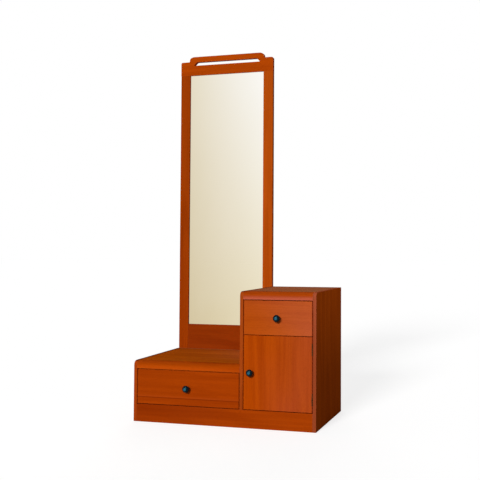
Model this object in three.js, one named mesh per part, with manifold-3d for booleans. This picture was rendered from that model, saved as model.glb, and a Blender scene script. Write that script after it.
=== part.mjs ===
// Dresser: a low one-drawer chest and a tall chest with a drawer and a door, with a framed mirror
// standing behind the low chest. Millimetres, +Z up. While it is built, x runs from the left side to
// the right, y from the front face of the carcass to the back, and z from the floor. The last lines
// move the origin to the middle of the footprint.
import * as THREE from 'three';
import { mergeVertices } from 'three/addons/utils/BufferGeometryUtils.js';
import Module from 'manifold-3d';

const wasm = await Module();
wasm.setup();

// Carcass
const low_width = 525; // outer left face to the left face of the middle panel
const tall_width = 357; // left face of the middle panel to the outer right face
const low_height = 278;
const tall_height = 604;
const carcass_depth = 400;
const board = 16; // side, top and bottom boards, fronts and plinths
const thin_back = 4; // hardboard back
const back_rebate = 6; // width of the rebate that takes the hardboard
const plinth_height = 80;
const front_band = 36; // height of the rounded rail under each top
const front_band_depth = 30;
const nose_radius = 22; // front top corner of the rails and side panels
const panel_edge_radius = 2;
const behind_fronts = 2; // from the back of the fronts to the boards behind them

// Fronts, drawers and runners
const front_gap = 3; // all round a drawer front or the door
const tall_front_height = 152; // of the tall chest's drawer front
const front_edge_radius = 3;
const drawer_wall = 12;
const drawer_back_gap = 30; // behind a closed drawer
const box_lift = 15; // bottom of the box above the bottom of its front
const low_box_drop = 21; // top of the box below the top of its front
const tall_box_drop = 22;
const box_back_drop = 8; // the back of the box is lower than its sides
const thin_bottom = 4;
const bottom_height = 10; // of the thin bottom above the lower edge of the sides
const bottom_groove_depth = 5;
const side_gap = 4.5; // running space beside the box
const runner_grip = 5.5; // how far a runner strip enters its groove
const runner_height = 14;
const runner_front = 24;
const runner_back_gap = 16; // from the end of a strip to the back of the closed box
const runner_above_base = 50;
const runner_end_flat = 0.2; // between the two round corners of a strip's end
const running_clearance = 0.3;
const seat_clearance = 0.3;

// Knobs
const knob_radius = 16;
const knob_projection = 25;
const knob_neck_radius = 6.5;
const knob_foot_radius = 9.5;
const knob_foot_height = 1.5;
const knob_neck_length = 7.5;
const knob_head_back = 12.5; // back of the head in front of the wood
const knob_head_widest = 17;
const knob_rim = 3; // round of the head's back edge
const knob_crown_radius = 9.6; // where the dome of the head turns flat
const knob_crown_drop = 2;
const knob_stud_radius = 3;
const knob_stud_length = 12;
const door_knob_inset = 34; // from the free edge of the door

// Door hinges and catch
const hinge_length = 50;
const hinge_inset = 55; // middle of a hinge from the end of the door
const hinge_knuckles = 5;
const hinge_leaf_width = 14;
const hinge_leaf_thickness = 1.2;
const hinge_barrel_radius = 2.5;
const hinge_pin_radius = 1;
const hinge_axis_forward = 2.4; // of the front face of the door
const hinge_cap_radius = 2;
const hinge_cap_height = 1;
const catch_length = 46;
const catch_height = 12;
const catch_depth = 16;
const catch_inset = 28; // from the middle panel
const strike_thickness = 1.5;
const strike_margin = 2; // shorter than the catch at each end

// Shelf
const shelf_rise = 165; // underside of the shelf above the bottom panel
const shelf_setback = 6; // behind the divider's front edge
const shelf_side_gap = 1;
const pin_radius = 2.5;
const pin_length = 16;
const pin_depth = 8; // in the panel
const pin_column_inset = 60; // from the front edge and the back edge of the shelf
const pin_pitch = 32;
const pin_hole_count = 5;

// Mirror
const mirror_inset = 5.5; // of the frame from each end of the low chest
const mirror_height = 1800; // top of the loop above the floor
const mirror_thickness = 18;
const mirror_foot = 40; // lower end of the frame above the floor
const stile_width = 52;
const head_height = 97; // from the upper edge of the glass to the top of the loop
const panel_in_sight = 125; // from the low top to the lower edge of the glass
const glass_thickness = 4;
const glass_lip = 6; // frame in front of the glass
const glass_cover = 8; // how far the frame covers the glass
const glass_clearance = 0.5;
const glass_board = 3;
const mirror_edge_radius = 3;
const loop_rise = 26; // of the loop above the shoulders
const loop_bar = 28; // height of the bar over the slot
const loop_inset = 49; // of the loop's foot from the end of the head
const loop_slope = 30; // how far its rounded end leans in
const loop_foot_radius = 6;
const shoulder_radius = 9;
const slot_height = 18;
const slot_inset = 22; // of the slot's lower corner from the loop's foot
const slot_corner = 5;
const mirror_screw_radius = 2;
const mirror_screw_length = 45;
const mirror_screw_head_radius = 4.6;
const mirror_screw_head = 2.6;

// Places that follow from the sizes
const total_width = low_width + tall_width;
const low_left = board;
const low_right = low_width;
const tall_left = low_width + board;
const tall_right = total_width - board;
const boards_back = carcass_depth - thin_back;
const drawer_depth = boards_back - board - drawer_back_gap;
const runner_length = board + drawer_depth - runner_front - runner_back_gap;
const mirror_width = low_width - 2 * mirror_inset;
const mirror_middle = low_width / 2;
const mirror_front = carcass_depth;
const mirror_back = mirror_front + mirror_thickness;
const shoulder_height = mirror_height - loop_rise;
const glass_width = mirror_width - 2 * stile_width;
const glass_low = low_height + panel_in_sight;
const glass_high = mirror_height - head_height;
const rebate_half = glass_width / 2 + glass_cover;
const glass_front = mirror_front + glass_lip;
const glass_back = glass_front + glass_thickness;
const board_back = glass_back + glass_board;
const loop_base_half = mirror_width / 2 - loop_inset;
const loop_top_half = loop_base_half - loop_slope;
const slot_low_half = loop_base_half - slot_inset;
const slot_top_half = slot_low_half - slot_height;
const divider_height = tall_height - front_band - 1.5 * front_gap - tall_front_height;
const divider_low = divider_height - board / 2;
const divider_top = divider_height + board / 2;
const divider_front = board + behind_fronts;
const shelf_front = divider_front + shelf_setback;
const shelf_back = boards_back - running_clearance;
const shelf_height = plinth_height + shelf_rise;
const door_left = tall_left + front_gap;
const door_right = tall_right - front_gap;
const door_low = plinth_height + front_gap;
const door_top = divider_height - front_gap / 2;
const tall_front_low = divider_height + front_gap / 2;
const tall_front_top = tall_height - front_band - front_gap;
const low_front_low = plinth_height + front_gap;
const low_front_top = low_height - front_band - front_gap;

const finishes = {
  side: { color: 0x9a3c08, roughness: 0.42, metalness: 0 },
  front: { color: 0xb04c0c, roughness: 0.4, metalness: 0 },
  inside: { color: 0xb98a5c, roughness: 0.7, metalness: 0 },
  hardboard: { color: 0x8a6440, roughness: 0.85, metalness: 0 },
  glass: { color: 0xe8dfca, roughness: 0.05, metalness: 1 },
  black: { color: 0x101214, roughness: 0.25, metalness: 0.2 },
  bronze: { color: 0x4a2c16, roughness: 0.45, metalness: 0.8 },
  steel: { color: 0xb4b6b8, roughness: 0.35, metalness: 1 },
  magnet: { color: 0x6b3a1c, roughness: 0.5, metalness: 0 },
};

const dresser = new THREE.Group();
const along_x = new THREE.Matrix4().makeBasis(
  new THREE.Vector3(0, 1, 0),
  new THREE.Vector3(0, 0, 1),
  new THREE.Vector3(1, 0, 0),
);
const along_y = new THREE.Matrix4().makeBasis(
  new THREE.Vector3(1, 0, 0),
  new THREE.Vector3(0, 0, 1),
  new THREE.Vector3(0, -1, 0),
);

function add(name, finish, shape) {
  const geometry = shape.isBufferGeometry ? shape : geometryOf(shape);
  const mesh = new THREE.Mesh(geometry, new THREE.MeshStandardMaterial(finishes[finish]));
  mesh.name = name;
  dresser.add(mesh);
}

function solidOf(geometry) {
  const bare = geometry.clone();
  bare.deleteAttribute('normal');
  bare.deleteAttribute('uv');
  const merged = mergeVertices(bare, 1e-4);
  return new wasm.Manifold(new wasm.Mesh({
    numProp: 3,
    vertProperties: new Float32Array(merged.attributes.position.array),
    triVerts: new Uint32Array(merged.index.array),
  }));
}

function geometryOf(solid) {
  const mesh = solid.getMesh();
  const geometry = new THREE.BufferGeometry();
  geometry.setAttribute('position', new THREE.BufferAttribute(new Float32Array(mesh.vertProperties), 3));
  geometry.setIndex(new THREE.BufferAttribute(new Uint32Array(mesh.triVerts), 1));
  return geometry;
}

function block(x0, x1, y0, y1, z0, z1) {
  const geometry = new THREE.BoxGeometry(x1 - x0, y1 - y0, z1 - z0);
  return geometry.translate((x0 + x1) / 2, (y0 + y1) / 2, (z0 + z1) / 2);
}

function cutting(...box) {
  return solidOf(block(...box));
}

// An outline whose corners are given in turn, anticlockwise, as [u, v, radius].
function outline(corners) {
  const shape = new THREE.Shape();
  corners.forEach(([u, v, radius], place) => {
    const before = corners[(place + corners.length - 1) % corners.length];
    const after = corners[(place + 1) % corners.length];
    const corner = new THREE.Vector2(u, v);
    const start = new THREE.Vector2(before[0] - u, before[1] - v).setLength(radius).add(corner);
    const end = new THREE.Vector2(after[0] - u, after[1] - v).setLength(radius).add(corner);
    if (place === 0) {
      shape.moveTo(start.x, start.y);
    } else {
      shape.lineTo(start.x, start.y);
    }
    if (radius > 0) {
      shape.quadraticCurveTo(u, v, end.x, end.y);
    }
  });
  shape.closePath();
  return shape;
}

function extruded(shape, length, steps) {
  return new THREE.ExtrudeGeometry(shape, { depth: length, bevelEnabled: false, curveSegments: steps });
}

// A side outline (y, z), from x0 to x1.
function acrossX(shape, x0, x1, steps = 8) {
  return extruded(shape, x1 - x0, steps).applyMatrix4(along_x).translate(x0, 0, 0);
}

// A plan outline (x, y), from z0 to z1.
function upwards(shape, z0, z1, steps = 4) {
  return extruded(shape, z1 - z0, steps).translate(0, 0, z0);
}

function cylinder(radius, length, sides) {
  return new THREE.CylinderGeometry(radius, radius, length, sides);
}

function rodAlongX(x0, x1, y, z, radius, sides = 16) {
  return cylinder(radius, x1 - x0, sides).rotateZ(Math.PI / 2).translate((x0 + x1) / 2, y, z);
}

function rodAlongY(y0, y1, x, z, radius, sides = 16) {
  return cylinder(radius, y1 - y0, sides).translate(x, (y0 + y1) / 2, z);
}

function rodAlongZ(z0, z1, x, y, radius, sides = 16) {
  return cylinder(radius, z1 - z0, sides).rotateX(Math.PI / 2).translate(x, y, (z0 + z1) / 2);
}

// A flat front whose four front edges are rounded.
function softFront(x0, x1, z0, z1) {
  const r = front_edge_radius;
  const plan = outline([[x0, 0, r], [x1, 0, r], [x1, board, 0], [x0, board, 0]]);
  const side = outline([[0, z0, r], [board, z0, 0], [board, z1, 0], [0, z1, r]]);
  return solidOf(upwards(plan, z0, z1)).intersect(solidOf(acrossX(side, x0, x1, 4)));
}

// Side panels: rounded front top corner, softened front edges, rebates at the back for the hardboard.
function sidePanel(x0, height) {
  const x1 = x0 + board;
  const side = outline([
    [0, 0, 0],
    [carcass_depth, 0, 0],
    [carcass_depth, height, 0],
    [0, height, nose_radius],
  ]);
  const r = panel_edge_radius;
  const plan = outline([[x0, 0, r], [x1, 0, r], [x1, carcass_depth, 0], [x0, carcass_depth, 0]]);
  return solidOf(acrossX(side, x0, x1)).intersect(solidOf(upwards(plan, 0, height)));
}

function backRebate(x0, x1, height) {
  return cutting(x0, x1, boards_back, carcass_depth, 0, height);
}

const pin_columns = [shelf_front + pin_column_inset, shelf_back - pin_column_inset];
const pin_height = shelf_height - pin_radius - running_clearance;

function withPinHoles(panel, x0, x1) {
  let drilled = panel;
  for (const y of pin_columns) {
    for (let row = 0; row < pin_hole_count; row += 1) {
      const z = pin_height + (row - (pin_hole_count - 1) / 2) * pin_pitch;
      drilled = drilled.subtract(solidOf(rodAlongX(x0, x1, y, z, pin_radius + seat_clearance, 12)));
    }
  }
  return drilled;
}

const pin_hole_depth = pin_depth + seat_clearance;

add('left_side_panel', 'side', sidePanel(0, low_height)
  .subtract(backRebate(board - back_rebate, board, low_height)));
add('middle_side_panel', 'side', withPinHoles(
  sidePanel(low_width, tall_height)
    .subtract(cutting(low_width, tall_left, 0, board, 0, plinth_height))
    .subtract(backRebate(low_width, low_width + back_rebate, low_height))
    .subtract(backRebate(tall_left - back_rebate, tall_left, tall_height)),
  tall_left - pin_hole_depth,
  tall_left,
));
add('right_side_panel', 'side', withPinHoles(
  sidePanel(tall_right, tall_height)
    .subtract(backRebate(tall_right, tall_right + back_rebate, tall_height)),
  tall_right,
  tall_right + pin_hole_depth,
));

// Screws that hold the mirror: into the back edges of the low top and the low bottom.
const screw_columns = {
  left: mirror_middle - (mirror_width - stile_width) / 2,
  right: mirror_middle + (mirror_width - stile_width) / 2,
};
const screw_rows = {
  upper: low_height - board / 2,
  lower: plinth_height - board / 2,
};

function screwHoles(solid) {
  let drilled = solid;
  const tip = mirror_back - mirror_screw_length - seat_clearance;
  for (const x of Object.values(screw_columns)) {
    for (const z of Object.values(screw_rows)) {
      const hole = rodAlongY(tip, mirror_back, x, z, mirror_screw_radius + seat_clearance, 12);
      drilled = drilled.subtract(solidOf(hole));
    }
  }
  return drilled;
}

// Tops, each behind its rounded rail.
function frontRail(x0, x1, height) {
  const low = height - front_band;
  return acrossX(outline([
    [0, low, panel_edge_radius],
    [front_band_depth, low, 0],
    [front_band_depth, height, 0],
    [0, height, nose_radius],
  ]), x0, x1);
}

add('low_front_rail', 'front', frontRail(low_left, low_right, low_height));
add('tall_front_rail', 'front', frontRail(tall_left, tall_right, tall_height));
add('low_top_panel', 'side', screwHoles(
  cutting(low_left, low_right, front_band_depth, boards_back, low_height - board, low_height),
));
add('tall_top_panel', 'side',
  block(tall_left, tall_right, front_band_depth, boards_back, tall_height - board, tall_height));

// Bottoms, plinths and the divider.
const bottom_low = plinth_height - board;
add('low_bottom_panel', 'inside', screwHoles(
  cutting(low_left, low_right, board, boards_back, bottom_low, plinth_height),
));
add('tall_bottom_panel', 'inside',
  block(tall_left, tall_right, board, boards_back, bottom_low, plinth_height));
add('front_plinth', 'front', acrossX(outline([
  [0, 0, 0],
  [board, 0, 0],
  [board, plinth_height, 0],
  [0, plinth_height, panel_edge_radius],
]), low_left, tall_right, 4));
add('low_rear_plinth', 'inside',
  block(low_left, low_right, boards_back - board, boards_back, 0, bottom_low));
add('tall_rear_plinth', 'inside',
  block(tall_left, tall_right, boards_back - board, boards_back, 0, bottom_low));
add('divider_panel', 'inside',
  block(tall_left, tall_right, divider_front, boards_back, divider_low, divider_top));

// Hardboard backs, in the rebates of the side panels and over the back edges of the boards.
add('low_back_panel', 'hardboard', screwHoles(
  cutting(low_left - back_rebate, low_right + back_rebate, boards_back, carcass_depth, bottom_low, low_height),
));
add('tall_back_panel', 'hardboard',
  block(tall_left - back_rebate, tall_right + back_rebate, boards_back, carcass_depth, bottom_low, tall_height));

// Shelf on four pins.
add('shelf', 'inside', block(
  tall_left + shelf_side_gap,
  tall_right - shelf_side_gap,
  shelf_front,
  shelf_back,
  shelf_height,
  shelf_height + board,
));
const pin_ends = {
  left: tall_left - pin_depth,
  right: tall_right + pin_depth - pin_length,
};
for (const [side, x] of Object.entries(pin_ends)) {
  add(`shelf_pin_front_${side}`, 'steel', rodAlongX(x, x + pin_length, pin_columns[0], pin_height, pin_radius));
  add(`shelf_pin_rear_${side}`, 'steel', rodAlongX(x, x + pin_length, pin_columns[1], pin_height, pin_radius));
}

// Knob: a domed head on a waisted neck, with a stud that goes into the wood.
function knobProfile() {
  const tip = -knob_projection;
  const half = new THREE.Path();
  half.moveTo(0, knob_stud_length);
  half.lineTo(knob_stud_radius, knob_stud_length);
  half.lineTo(knob_stud_radius, 0);
  half.lineTo(knob_foot_radius, 0);
  half.quadraticCurveTo(knob_neck_radius, -knob_foot_height, knob_neck_radius, -knob_neck_length);
  half.quadraticCurveTo(knob_neck_radius, -knob_head_back, knob_radius - knob_rim, -knob_head_back);
  half.quadraticCurveTo(knob_radius, -knob_head_back, knob_radius, -knob_head_widest);
  half.bezierCurveTo(knob_radius, tip + knob_crown_drop, knob_crown_radius, tip, 0, tip);
  return half.getPoints(5).reverse();
}

function addKnob(name, x, z) {
  add(name, 'black', new THREE.LatheGeometry(knobProfile(), 24).translate(x, 0, z));
}

function knobHole(x, z) {
  const depth = knob_stud_length + seat_clearance;
  return solidOf(rodAlongY(0, depth, x, z, knob_stud_radius + seat_clearance));
}

// A rounded slot or strip along y, seen from the side.
function longOutline(y0, y1, z0, z1) {
  const r = (z1 - z0 - runner_end_flat) / 2;
  return outline([[y0, z0, r], [y1, z0, r], [y1, z1, r], [y0, z1, r]]);
}

// A drawer between the walls wall_left and wall_right, with its front from front_low to front_top.
// Each side has a groove outside, which runs on a strip on the wall, and one inside for the bottom.
function addDrawer(name, wall_left, wall_right, front_low, front_top, box_drop) {
  const middle = (wall_left + wall_right) / 2;
  const knob_z = (front_low + front_top) / 2;
  const left = wall_left + side_gap;
  const right = wall_right - side_gap;
  const inner_left = left + drawer_wall;
  const inner_right = right - drawer_wall;
  const base = front_low + box_lift;
  const top = front_top - box_drop;
  const back = board + drawer_depth;
  const strip_low = base + runner_above_base;
  const strip_top = strip_low + runner_height;
  const groove_low = base + bottom_height - running_clearance;
  const groove_top = base + bottom_height + thin_bottom + running_clearance;
  const groove_left = inner_left - bottom_groove_depth;
  const groove_right = inner_right + bottom_groove_depth;

  const bottom_groove = cutting(
    groove_left,
    groove_right,
    board - bottom_groove_depth,
    back,
    groove_low,
    groove_top,
  );
  const runner_groove = longOutline(
    runner_front - running_clearance,
    back + drawer_depth,
    strip_low - running_clearance,
    strip_top + running_clearance,
  );
  const groove_depth = runner_grip + running_clearance;
  const front = softFront(wall_left + front_gap, wall_right - front_gap, front_low, front_top)
    .subtract(knobHole(middle, knob_z))
    .subtract(bottom_groove);
  add(`${name}_front`, 'front', front);
  add(`${name}_left_side`, 'inside', cutting(left, inner_left, board, back, base, top)
    .subtract(bottom_groove)
    .subtract(solidOf(acrossX(runner_groove, left, left + groove_depth, 6))));
  add(`${name}_right_side`, 'inside', cutting(inner_right, right, board, back, base, top)
    .subtract(bottom_groove)
    .subtract(solidOf(acrossX(runner_groove, right - groove_depth, right, 6))));
  add(`${name}_back`, 'inside',
    block(inner_left, inner_right, back - drawer_wall, back, groove_top, top - box_back_drop));
  add(`${name}_bottom`, 'hardboard', block(
    groove_left + running_clearance,
    groove_right - running_clearance,
    board - bottom_groove_depth + running_clearance,
    back,
    base + bottom_height,
    base + bottom_height + thin_bottom,
  ));
  addKnob(`${name}_knob`, middle, knob_z);

  const strip = longOutline(runner_front, runner_front + runner_length, strip_low, strip_top);
  const strip_width = side_gap + runner_grip;
  add(`${name}_runner_left`, 'inside', acrossX(strip, wall_left, wall_left + strip_width, 6));
  add(`${name}_runner_right`, 'inside', acrossX(strip, wall_right - strip_width, wall_right, 6));
}

addDrawer('low_drawer', low_left, low_right, low_front_low, low_front_top, low_box_drop);
addDrawer('tall_drawer', tall_left, tall_right, tall_front_low, tall_front_top, tall_box_drop);

// Door, with its knob at the free edge.
const door_middle = (door_low + door_top) / 2;
const door_knob_x = door_left + door_knob_inset;
add('door_panel', 'front',
  softFront(door_left, door_right, door_low, door_top).subtract(knobHole(door_knob_x, door_middle)));
addKnob('door_knob', door_knob_x, door_middle);

// Butt hinges in the gap at the right of the door. The leaves lie on the edge of the door and on the
// side panel, and their knuckles take turns along the pin in front of the gap.
const hinge_x = tall_right - front_gap / 2;
const hinge_y = -hinge_axis_forward;
const leaf_outer = front_gap / 2;
const leaf_inner = leaf_outer - hinge_leaf_thickness;
const knuckle = hinge_length / hinge_knuckles;

function hingeLeaf(toward, middle, first) {
  const low = middle - hinge_length / 2;
  const near = hinge_x + toward * leaf_inner;
  const far = hinge_x + toward * leaf_outer;
  let leaf = cutting(
    Math.min(near, far),
    Math.max(near, far),
    hinge_y,
    hinge_leaf_width,
    low,
    low + hinge_length,
  );
  for (let place = 0; place < hinge_knuckles; place += 1) {
    const z0 = low + place * knuckle;
    const z1 = z0 + knuckle;
    if (place % 2 === first) {
      const gap = running_clearance / 2;
      leaf = leaf.add(solidOf(rodAlongZ(z0 + gap, z1 - gap, hinge_x, hinge_y, hinge_barrel_radius)));
    } else {
      const gap = -running_clearance / 2;
      const clear = hinge_barrel_radius + running_clearance;
      leaf = leaf.subtract(solidOf(rodAlongZ(z0 + gap, z1 - gap, hinge_x, hinge_y, clear)));
    }
  }
  const bore = hinge_pin_radius + running_clearance;
  return leaf.subtract(solidOf(rodAlongZ(low - 1, low + hinge_length + 1, hinge_x, hinge_y, bore)));
}

const hinge_middles = {
  upper: door_top - hinge_inset,
  lower: door_low + hinge_inset,
};
for (const [place, middle] of Object.entries(hinge_middles)) {
  add(`hinge_panel_leaf_${place}`, 'bronze', hingeLeaf(1, middle, 0));
  add(`hinge_door_leaf_${place}`, 'bronze', hingeLeaf(-1, middle, 1));
  const low = middle - hinge_length / 2;
  const cap_low = low + hinge_length + running_clearance;
  const pin = solidOf(rodAlongZ(low, cap_low, hinge_x, hinge_y, hinge_pin_radius));
  const cap_top = cap_low + hinge_cap_height;
  const cap = solidOf(rodAlongZ(cap_low, cap_top, hinge_x, hinge_y, hinge_cap_radius));
  add(`hinge_pin_${place}`, 'bronze', pin.add(cap));
}

// Magnetic catch under the divider, and its strike plate on the door.
const catch_left = tall_left + catch_inset;
const strike_back = board + strike_thickness;
add('door_catch', 'magnet', block(
  catch_left,
  catch_left + catch_length,
  strike_back + running_clearance,
  strike_back + running_clearance + catch_depth,
  divider_low - catch_height,
  divider_low,
));
add('door_strike_plate', 'steel', block(
  catch_left + strike_margin,
  catch_left + catch_length - strike_margin,
  board,
  strike_back,
  divider_low - catch_height,
  divider_low,
));

// Mirror frame: two stiles, a head with the loop, and a lower panel that goes down behind the chest.
// One rebate, cut through all four, takes the glass, its back board and the beads.
const mirror_rebate = cutting(
  mirror_middle - rebate_half,
  mirror_middle + rebate_half,
  glass_front,
  mirror_back,
  glass_low - glass_cover,
  glass_high + glass_cover,
);
const stile_lefts = {
  left: mirror_middle - mirror_width / 2,
  right: mirror_middle + glass_width / 2,
};
for (const [side, x] of Object.entries(stile_lefts)) {
  const r = mirror_edge_radius;
  const plan = outline([
    [x, mirror_front, r],
    [x + stile_width, mirror_front, r],
    [x + stile_width, mirror_back, 0],
    [x, mirror_back, 0],
  ]);
  add(`mirror_${side}_stile`, 'side',
    screwHoles(solidOf(upwards(plan, mirror_foot, glass_high)).subtract(mirror_rebate)));
}
add('mirror_lower_panel', 'side', cutting(
  mirror_middle - glass_width / 2,
  mirror_middle + glass_width / 2,
  mirror_front,
  mirror_back,
  mirror_foot,
  glass_low,
).subtract(mirror_rebate));

// The head: shoulders with small round corners, and between them the raised loop over a long slot.
function headOutline(overlap) {
  const half = mirror_width / 2;
  const low = glass_high - overlap;
  const z = shoulder_height;
  const shape = new THREE.Shape();
  shape.moveTo(-half, low);
  shape.lineTo(half, low);
  shape.lineTo(half, z - shoulder_radius);
  shape.quadraticCurveTo(half, z, half - shoulder_radius, z);
  shape.lineTo(loop_base_half + loop_foot_radius, z);
  shape.quadraticCurveTo(loop_base_half, z, loop_base_half, z + loop_foot_radius);
  shape.quadraticCurveTo(loop_base_half, mirror_height, loop_top_half, mirror_height);
  shape.lineTo(-loop_top_half, mirror_height);
  shape.quadraticCurveTo(-loop_base_half, mirror_height, -loop_base_half, z + loop_foot_radius);
  shape.quadraticCurveTo(-loop_base_half, z, -loop_base_half - loop_foot_radius, z);
  shape.lineTo(-half + shoulder_radius, z);
  shape.quadraticCurveTo(-half, z, -half, z - shoulder_radius);
  shape.closePath();
  const slot_top = mirror_height - loop_bar;
  const slot_low = slot_top - slot_height;
  shape.holes.push(outline([
    [-slot_low_half, slot_low, slot_corner],
    [slot_low_half, slot_low, slot_corner],
    [slot_top_half, slot_top, slot_corner],
    [-slot_top_half, slot_top, slot_corner],
  ]));
  return shape;
}

const head_overlap = 2 * mirror_edge_radius;
const head = new THREE.ExtrudeGeometry(headOutline(head_overlap), {
  depth: mirror_thickness - 2 * mirror_edge_radius,
  bevelThickness: mirror_edge_radius,
  bevelSize: mirror_edge_radius,
  bevelOffset: -mirror_edge_radius,
  bevelSegments: 3,
  curveSegments: 7,
}).applyMatrix4(along_y).translate(mirror_middle, mirror_back - mirror_edge_radius, 0);
add('mirror_head', 'front', solidOf(head)
  .subtract(cutting(
    mirror_middle - mirror_width,
    mirror_middle + mirror_width,
    mirror_front - 1,
    mirror_back + 1,
    glass_high - 2 * head_overlap,
    glass_high,
  ))
  .subtract(mirror_rebate));

// Glass, back board and beads in the rebate.
function inRebate(y0, y1) {
  const half = rebate_half - glass_clearance;
  const low = glass_low - glass_cover + glass_clearance;
  const high = glass_high + glass_cover - glass_clearance;
  return block(mirror_middle - half, mirror_middle + half, y0, y1, low, high);
}

add('mirror_glass', 'glass', inRebate(glass_front, glass_back));
add('mirror_back_board', 'hardboard', inRebate(glass_back, board_back));
const open_left = mirror_middle - glass_width / 2;
const open_right = mirror_middle + glass_width / 2;
const rebate_left = mirror_middle - rebate_half;
const rebate_right = mirror_middle + rebate_half;
const rebate_low = glass_low - glass_cover;
const rebate_high = glass_high + glass_cover;
add('mirror_bead_left', 'inside', block(rebate_left, open_left, board_back, mirror_back, rebate_low, rebate_high));
add('mirror_bead_right', 'inside', block(open_right, rebate_right, board_back, mirror_back, rebate_low, rebate_high));
add('mirror_bead_top', 'inside', block(open_left, open_right, board_back, mirror_back, glass_high, rebate_high));
add('mirror_bead_bottom', 'inside', block(open_left, open_right, board_back, mirror_back, rebate_low, glass_low));

// Screws with domed heads at the back of the stiles.
function screwProfile() {
  const tip = mirror_back - mirror_screw_length;
  const half = new THREE.Path();
  half.moveTo(0, tip);
  half.lineTo(mirror_screw_radius, tip + 2 * mirror_screw_radius);
  half.lineTo(mirror_screw_radius, mirror_back);
  half.lineTo(mirror_screw_head_radius, mirror_back);
  half.quadraticCurveTo(
    mirror_screw_head_radius,
    mirror_back + mirror_screw_head,
    0,
    mirror_back + mirror_screw_head,
  );
  return half.getPoints(5);
}

for (const [side, x] of Object.entries(screw_columns)) {
  for (const [row, z] of Object.entries(screw_rows)) {
    add(`mirror_screw_${row}_${side}`, 'steel', new THREE.LatheGeometry(screwProfile(), 16).translate(x, 0, z));
  }
}

const front_reach = knob_projection;
const back_reach = mirror_back + mirror_screw_head;
dresser.position.set(-total_width / 2, (front_reach - back_reach) / 2, 0);

export default dresser;
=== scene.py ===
import math

import bmesh
import bpy
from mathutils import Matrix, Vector


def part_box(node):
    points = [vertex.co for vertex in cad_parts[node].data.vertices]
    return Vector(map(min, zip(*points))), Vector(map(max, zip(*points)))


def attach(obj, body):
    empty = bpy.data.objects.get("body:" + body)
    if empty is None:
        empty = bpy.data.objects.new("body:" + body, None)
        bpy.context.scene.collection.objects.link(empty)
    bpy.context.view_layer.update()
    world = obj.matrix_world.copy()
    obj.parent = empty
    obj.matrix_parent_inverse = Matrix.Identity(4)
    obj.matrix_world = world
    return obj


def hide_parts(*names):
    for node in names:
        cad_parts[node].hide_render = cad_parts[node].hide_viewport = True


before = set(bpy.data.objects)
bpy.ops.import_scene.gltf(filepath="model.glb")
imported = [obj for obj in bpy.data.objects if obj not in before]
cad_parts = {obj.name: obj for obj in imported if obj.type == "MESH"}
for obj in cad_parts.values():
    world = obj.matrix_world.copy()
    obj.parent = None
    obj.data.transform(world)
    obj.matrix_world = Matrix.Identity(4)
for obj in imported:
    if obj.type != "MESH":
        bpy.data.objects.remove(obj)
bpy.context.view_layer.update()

# The camera: it stands to the right of the dresser, a little above the tall top, and looks slightly to the
# left. Its lens is moved sideways, as on a technical camera, so that the front stays nearly square.
scene = bpy.context.scene
scene.view_settings.view_transform = "Standard"
camera = bpy.data.objects.new("camera", bpy.data.cameras.new("camera"))
camera.location = (1.3331, -2.9907, 0.8)
camera.rotation_euler = (math.radians(91.87), 0, math.radians(13.19))
camera.data.lens = 50.31
camera.data.shift_x = -0.27
camera.data.shift_y = -0.03
scene.collection.objects.link(camera)
scene.camera = camera


# The studio: a white room whose walls give little light, one soft lamp from the front, a little to the left,
# a weaker one from behind for the back, and a pale floor that keeps the dresser's shadow.
white_room = 1.0
room_light = 0.24
lamps = {  # strength, and in degrees how wide it looks, its lean from overhead and its turn from the front
    "key_lamp": (2.8, 18, 65, -7),
    "fill_lamp": (1.1, 40, 72, -160),
}
floor_colour = 0.35
floor_glow = 0.748
floor_half = 30
floor_drop = 0.0005


def put(tree, kind, sockets=None, **settings):
    """Adds a node. A value in sockets that is itself a socket is linked, and any other is set."""
    made = tree.nodes.new(kind)
    for name, value in settings.items():
        setattr(made, name, value)
    for name, value in (sockets or {}).items():
        if isinstance(value, bpy.types.NodeSocket):
            tree.links.new(value, made.inputs[name])
        else:
            made.inputs[name].default_value = value
    return made


def worked_out(tree, operation, *values):
    """A sum, a product or the like of one or two values."""
    return put(tree, "ShaderNodeMath", dict(enumerate(values)), operation=operation).outputs[0]


def seen_directly(tree):
    """1 for rays from the camera and for those that a mirror or glass sends on, and 0 for the others."""
    ray = put(tree, "ShaderNodeLightPath").outputs
    shown = worked_out(tree, "MAXIMUM", ray["Is Camera Ray"], ray["Is Glossy Ray"])
    return worked_out(tree, "MAXIMUM", shown, ray["Is Transmission Ray"])


def material(name):
    made = bpy.data.materials.new(name)
    made.use_nodes = True
    made.node_tree.nodes.clear()
    return made


world = bpy.data.worlds.new("studio")
world.use_nodes = True
tree = world.node_tree
tree.nodes.clear()
strength = put(tree, "ShaderNodeMapRange", {
    "Value": seen_directly(tree), "To Min": room_light, "To Max": white_room,
}).outputs[0]
room = put(tree, "ShaderNodeBackground", {"Color": (1, 1, 1, 1), "Strength": strength}).outputs[0]
put(tree, "ShaderNodeOutputWorld", {"Surface": room})
scene.world = world

for name, (power, width, lean, turn) in lamps.items():
    lamp = bpy.data.objects.new(name, bpy.data.lights.new(name, "SUN"))
    lamp.data.energy = power
    lamp.data.angle = math.radians(width)
    lamp.rotation_euler = (math.radians(lean), 0, math.radians(turn))
    scene.collection.objects.link(lamp)

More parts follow.
